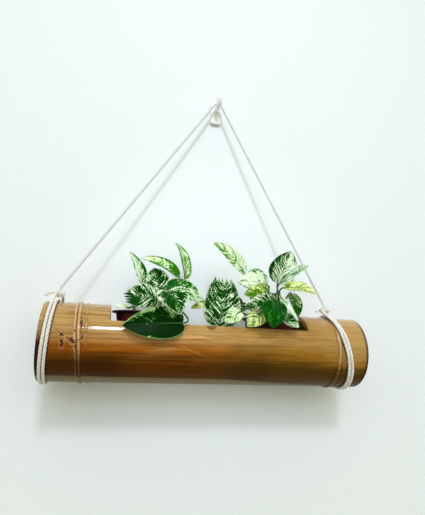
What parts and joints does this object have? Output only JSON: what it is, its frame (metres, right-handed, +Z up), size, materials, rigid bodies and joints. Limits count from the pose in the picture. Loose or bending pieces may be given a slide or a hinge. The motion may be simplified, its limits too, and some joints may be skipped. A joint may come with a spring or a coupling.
{
  "type": "hanging bamboo planter",
  "caption": "Bamboo culm planter hung by a cotton rope from a wall hook, with lift-out nursery pots of variegated pothos standing in a slot sawn along its top.",
  "frame": {"origin": "middle of the adhesive pad's face that sticks to the wall, behind the hook", "axes": "+X to the right along the culm, +Y into the wall, +Z up"},
  "size_m": [0.4, 0.1165, 0.4263],
  "materials": {
    "bamboo": "varnished",
    "rope": "twisted cotton",
    "pot": "moulded",
    "soil": "crumbly potting soil",
    "hook": "moulded",
    "pad": "adhesive foam",
    "stem": "living stem",
    "leaf": "waxy, marbled cream and green"
  },
  "bodies": {
    "hook": {"adhesive_pad": "pad", "wall_hook": "hook"},
    "rope": {"hanging_rope": "rope"},
    "planter": {"culm": "bamboo", "left_knot": "rope", "left_lashing": "rope", "right_knot": "rope", "right_lashing": "rope"},
    "left_potted_plant": {"left_leaf_1": "leaf", "left_leaf_2": "leaf", "left_leaf_3": "leaf", "left_leaf_4": "leaf", "left_leaf_5": "leaf", "left_leaf_6": "leaf", "left_leaf_7": "leaf", "left_leaf_8": "leaf", "left_leaf_9": "leaf", "left_pot": "pot", "left_soil": "soil", "left_stem_1": "stem", "left_stem_2": "stem", "left_stem_3": "stem"},
    "right_potted_plant": {"right_leaf_1": "leaf", "right_leaf_10": "leaf", "right_leaf_11": "leaf", "right_leaf_12": "leaf", "right_leaf_13": "leaf", "right_leaf_14": "leaf", "right_leaf_15": "leaf", "right_leaf_16": "leaf", "right_leaf_2": "leaf", "right_leaf_3": "leaf", "right_leaf_4": "leaf", "right_leaf_5": "leaf", "right_leaf_6": "leaf", "right_leaf_7": "leaf", "right_leaf_8": "leaf", "right_leaf_9": "leaf", "right_pot": "pot", "right_soil": "soil", "right_stem_1": "stem", "right_stem_2": "stem", "right_stem_3": "stem"}
  },
  "joints": [
    {"name": "sway", "type": "hinge", "parent": "hook", "child": "rope", "pos_m": [0, -0.015, 0.003], "axis": [0, 1, 0], "range_deg": [-10, 10]},
    {"name": "roll", "type": "hinge", "parent": "rope", "child": "planter", "pos_m": [0, -0.05129, -0.30187], "axis": [-1, 0, 0], "range_deg": [0, 8]},
    {"name": "left_lift", "type": "slide", "parent": "planter", "child": "left_potted_plant", "axis": [0, 0, 1], "range_m": [0, 0.06]},
    {"name": "right_lift", "type": "slide", "parent": "planter", "child": "right_potted_plant", "axis": [0, 0, 1], "range_m": [0, 0.06]}
  ]
}
